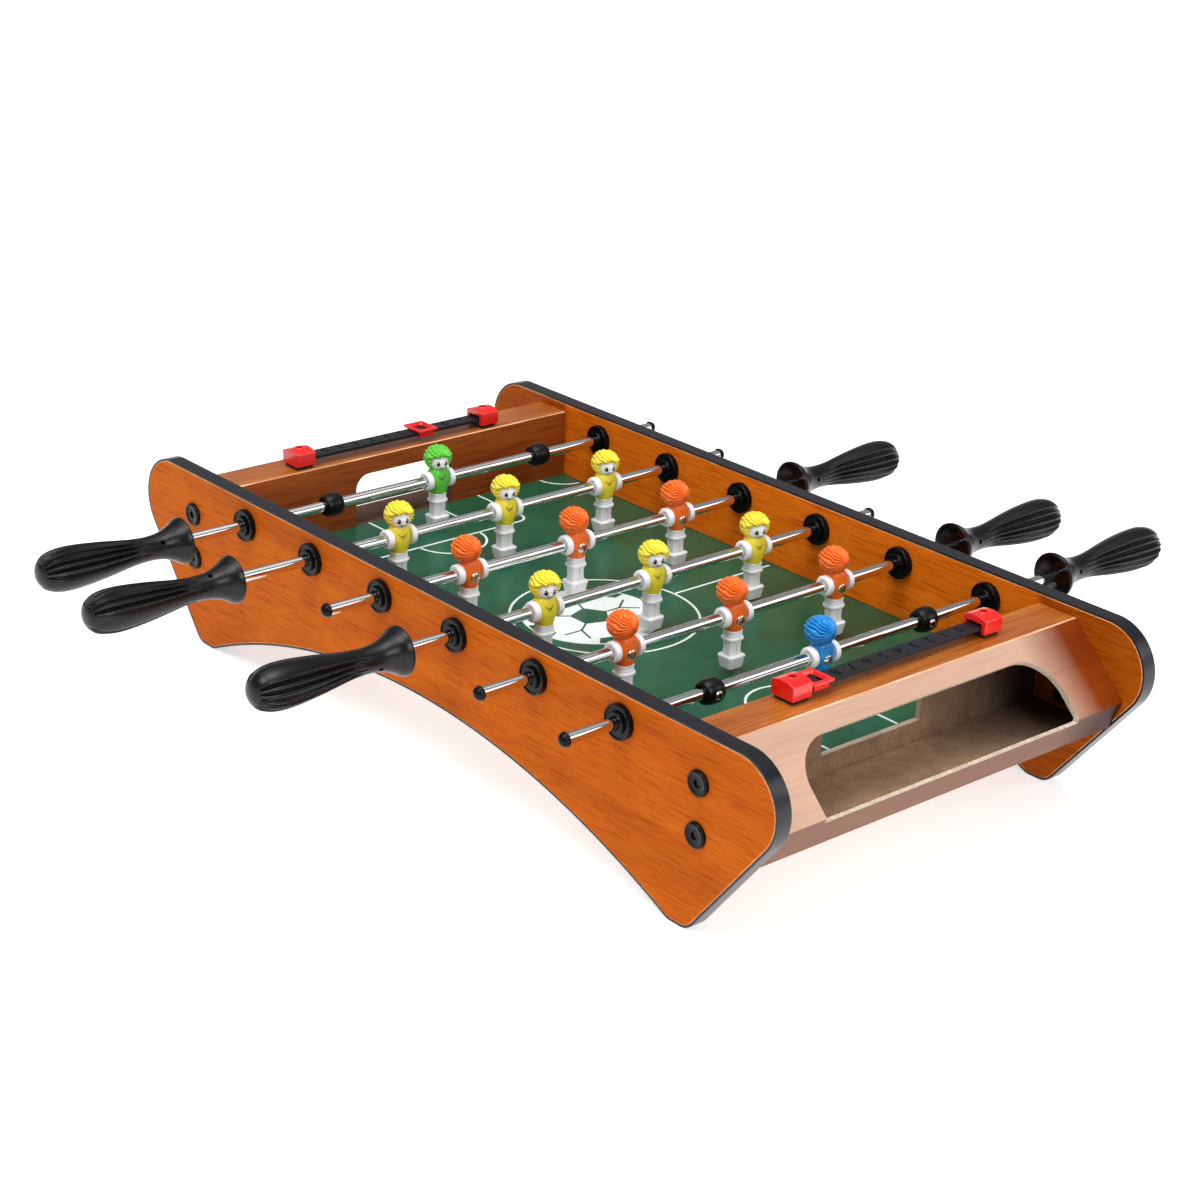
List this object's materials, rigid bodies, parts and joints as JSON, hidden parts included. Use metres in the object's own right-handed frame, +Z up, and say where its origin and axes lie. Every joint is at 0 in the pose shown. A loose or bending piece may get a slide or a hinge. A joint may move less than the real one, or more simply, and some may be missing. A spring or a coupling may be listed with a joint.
{
  "type": "foosball table",
  "caption": "Tabletop foosball table: arched wood-grain side panels, folded end boxes with goals and ball returns, and sliding, spinning rods of toy players.",
  "frame": {"origin": "on the floor under the middle of the table", "axes": "+X along the playing field towards the blue goalkeeper's end, +Y along the rods towards the rear panel, +Z up"},
  "size_m": [0.683, 0.7, 0.1424],
  "materials": {
    "panel_laminate": "semi-gloss orange cherry wood-grain laminate with darker streaks",
    "edge_band": "satin black PVC edge band",
    "end_board": "satin light cherry wood-grain film on folded fibreboard",
    "raw_board": "bare fibreboard",
    "field_green": "glossy printed green playing surface with white lines",
    "rod_steel": "polished chromed steel tube",
    "black_plastic": "moulded black plastic",
    "black_rubber": "black rubber",
    "red_plastic": "glossy red plastic",
    "green": "glossy green plastic",
    "yellow": "glossy yellow plastic",
    "orange": "glossy orange plastic",
    "blue": "glossy blue plastic"
  },
  "bodies": {
    "table": {"side_panel_front": "panel_laminate", "edge_band_front": "edge_band", "side_panel_rear": "panel_laminate", "edge_band_rear": "edge_band", "playing_field": "field_green", "end_box_left": "end_board", "ball_tray_left": "raw_board", "end_box_right": "end_board", "ball_tray_right": "raw_board", "score_rail_left": "black_plastic", "score_mount_left_front": "red_plastic", "score_mount_left_rear": "red_plastic", "score_rail_right": "black_plastic", "score_mount_right_front": "red_plastic", "score_mount_right_rear": "red_plastic"},
    "score_slider_left": {"score_slider_left": "red_plastic"},
    "score_slider_right": {"score_slider_right": "red_plastic"},
    "rod_1_bushes": {"bush_1_front": "black_plastic", "bush_1_rear": "black_plastic"},
    "rod_1": {"rod_1": "rod_steel", "handle_1": "black_plastic", "green_goalkeeper": "green", "stopper_1_front": "black_rubber", "stopper_1_rear": "black_rubber"},
    "rod_2_bushes": {"bush_2_front": "black_plastic", "bush_2_rear": "black_plastic"},
    "rod_2": {"rod_2": "rod_steel", "handle_2": "black_plastic", "yellow_defender_front": "yellow", "yellow_defender_middle": "yellow", "yellow_defender_rear": "yellow"},
    "rod_3_bushes": {"bush_3_front": "black_plastic", "bush_3_rear": "black_plastic"},
    "rod_3": {"rod_3": "rod_steel", "handle_3": "black_plastic", "orange_attacker_front": "orange", "orange_attacker_middle": "orange", "orange_attacker_rear": "orange"},
    "rod_4_bushes": {"bush_4_front": "black_plastic", "bush_4_rear": "black_plastic"},
    "rod_4": {"rod_4": "rod_steel", "handle_4": "black_plastic", "yellow_attacker_front": "yellow", "yellow_attacker_middle": "yellow", "yellow_attacker_rear": "yellow"},
    "rod_5_bushes": {"bush_5_front": "black_plastic", "bush_5_rear": "black_plastic"},
    "rod_5": {"rod_5": "rod_steel", "handle_5": "black_plastic", "orange_defender_front": "orange", "orange_defender_middle": "orange", "orange_defender_rear": "orange"},
    "rod_6_bushes": {"bush_6_front": "black_plastic", "bush_6_rear": "black_plastic"},
    "rod_6": {"rod_6": "rod_steel", "handle_6": "black_plastic", "blue_goalkeeper": "blue", "stopper_6_front": "black_rubber", "stopper_6_rear": "black_rubber"}
  },
  "joints": [
    {"name": "rod_1_spin", "type": "hinge", "parent": "table", "child": "rod_1_bushes", "pos_m": [-0.205, 0, 0.115], "axis": [0, 1, 0], "continuous": true},
    {"name": "rod_1_slide", "type": "slide", "parent": "rod_1_bushes", "child": "rod_1", "axis": [0, 1, 0], "range_m": [-0.0335, 0.046]},
    {"name": "rod_2_spin", "type": "hinge", "parent": "table", "child": "rod_2_bushes", "pos_m": [-0.123, 0, 0.115], "axis": [0, 1, 0], "continuous": true},
    {"name": "rod_2_slide", "type": "slide", "parent": "rod_2_bushes", "child": "rod_2", "axis": [0, 1, 0], "range_m": [-0.0335, 0.046]},
    {"name": "rod_3_spin", "type": "hinge", "parent": "table", "child": "rod_3_bushes", "pos_m": [-0.041, 0, 0.115], "axis": [0, 1, 0], "continuous": true},
    {"name": "rod_3_slide", "type": "slide", "parent": "rod_3_bushes", "child": "rod_3", "axis": [0, -1, 0], "range_m": [-0.0335, 0.041]},
    {"name": "rod_4_spin", "type": "hinge", "parent": "table", "child": "rod_4_bushes", "pos_m": [0.041, 0, 0.115], "axis": [0, 1, 0], "continuous": true},
    {"name": "rod_4_slide", "type": "slide", "parent": "rod_4_bushes", "child": "rod_4", "axis": [0, 1, 0], "range_m": [-0.0335, 0.0445]},
    {"name": "rod_5_spin", "type": "hinge", "parent": "table", "child": "rod_5_bushes", "pos_m": [0.123, 0, 0.115], "axis": [0, 1, 0], "continuous": true},
    {"name": "rod_5_slide", "type": "slide", "parent": "rod_5_bushes", "child": "rod_5", "axis": [0, -1, 0], "range_m": [-0.0335, 0.0425]},
    {"name": "rod_6_spin", "type": "hinge", "parent": "table", "child": "rod_6_bushes", "pos_m": [0.205, 0, 0.115], "axis": [0, 1, 0], "continuous": true},
    {"name": "rod_6_slide", "type": "slide", "parent": "rod_6_bushes", "child": "rod_6", "axis": [0, -1, 0], "range_m": [-0.0335, 0.046]},
    {"name": "score_left_slide", "type": "slide", "parent": "table", "child": "score_slider_left", "axis": [0, 1, 0], "range_m": [-0.0961, 0.0435]},
    {"name": "score_right_slide", "type": "slide", "parent": "table", "child": "score_slider_right", "axis": [0, 1, 0], "range_m": [0, 0.1396]}
  ]
}
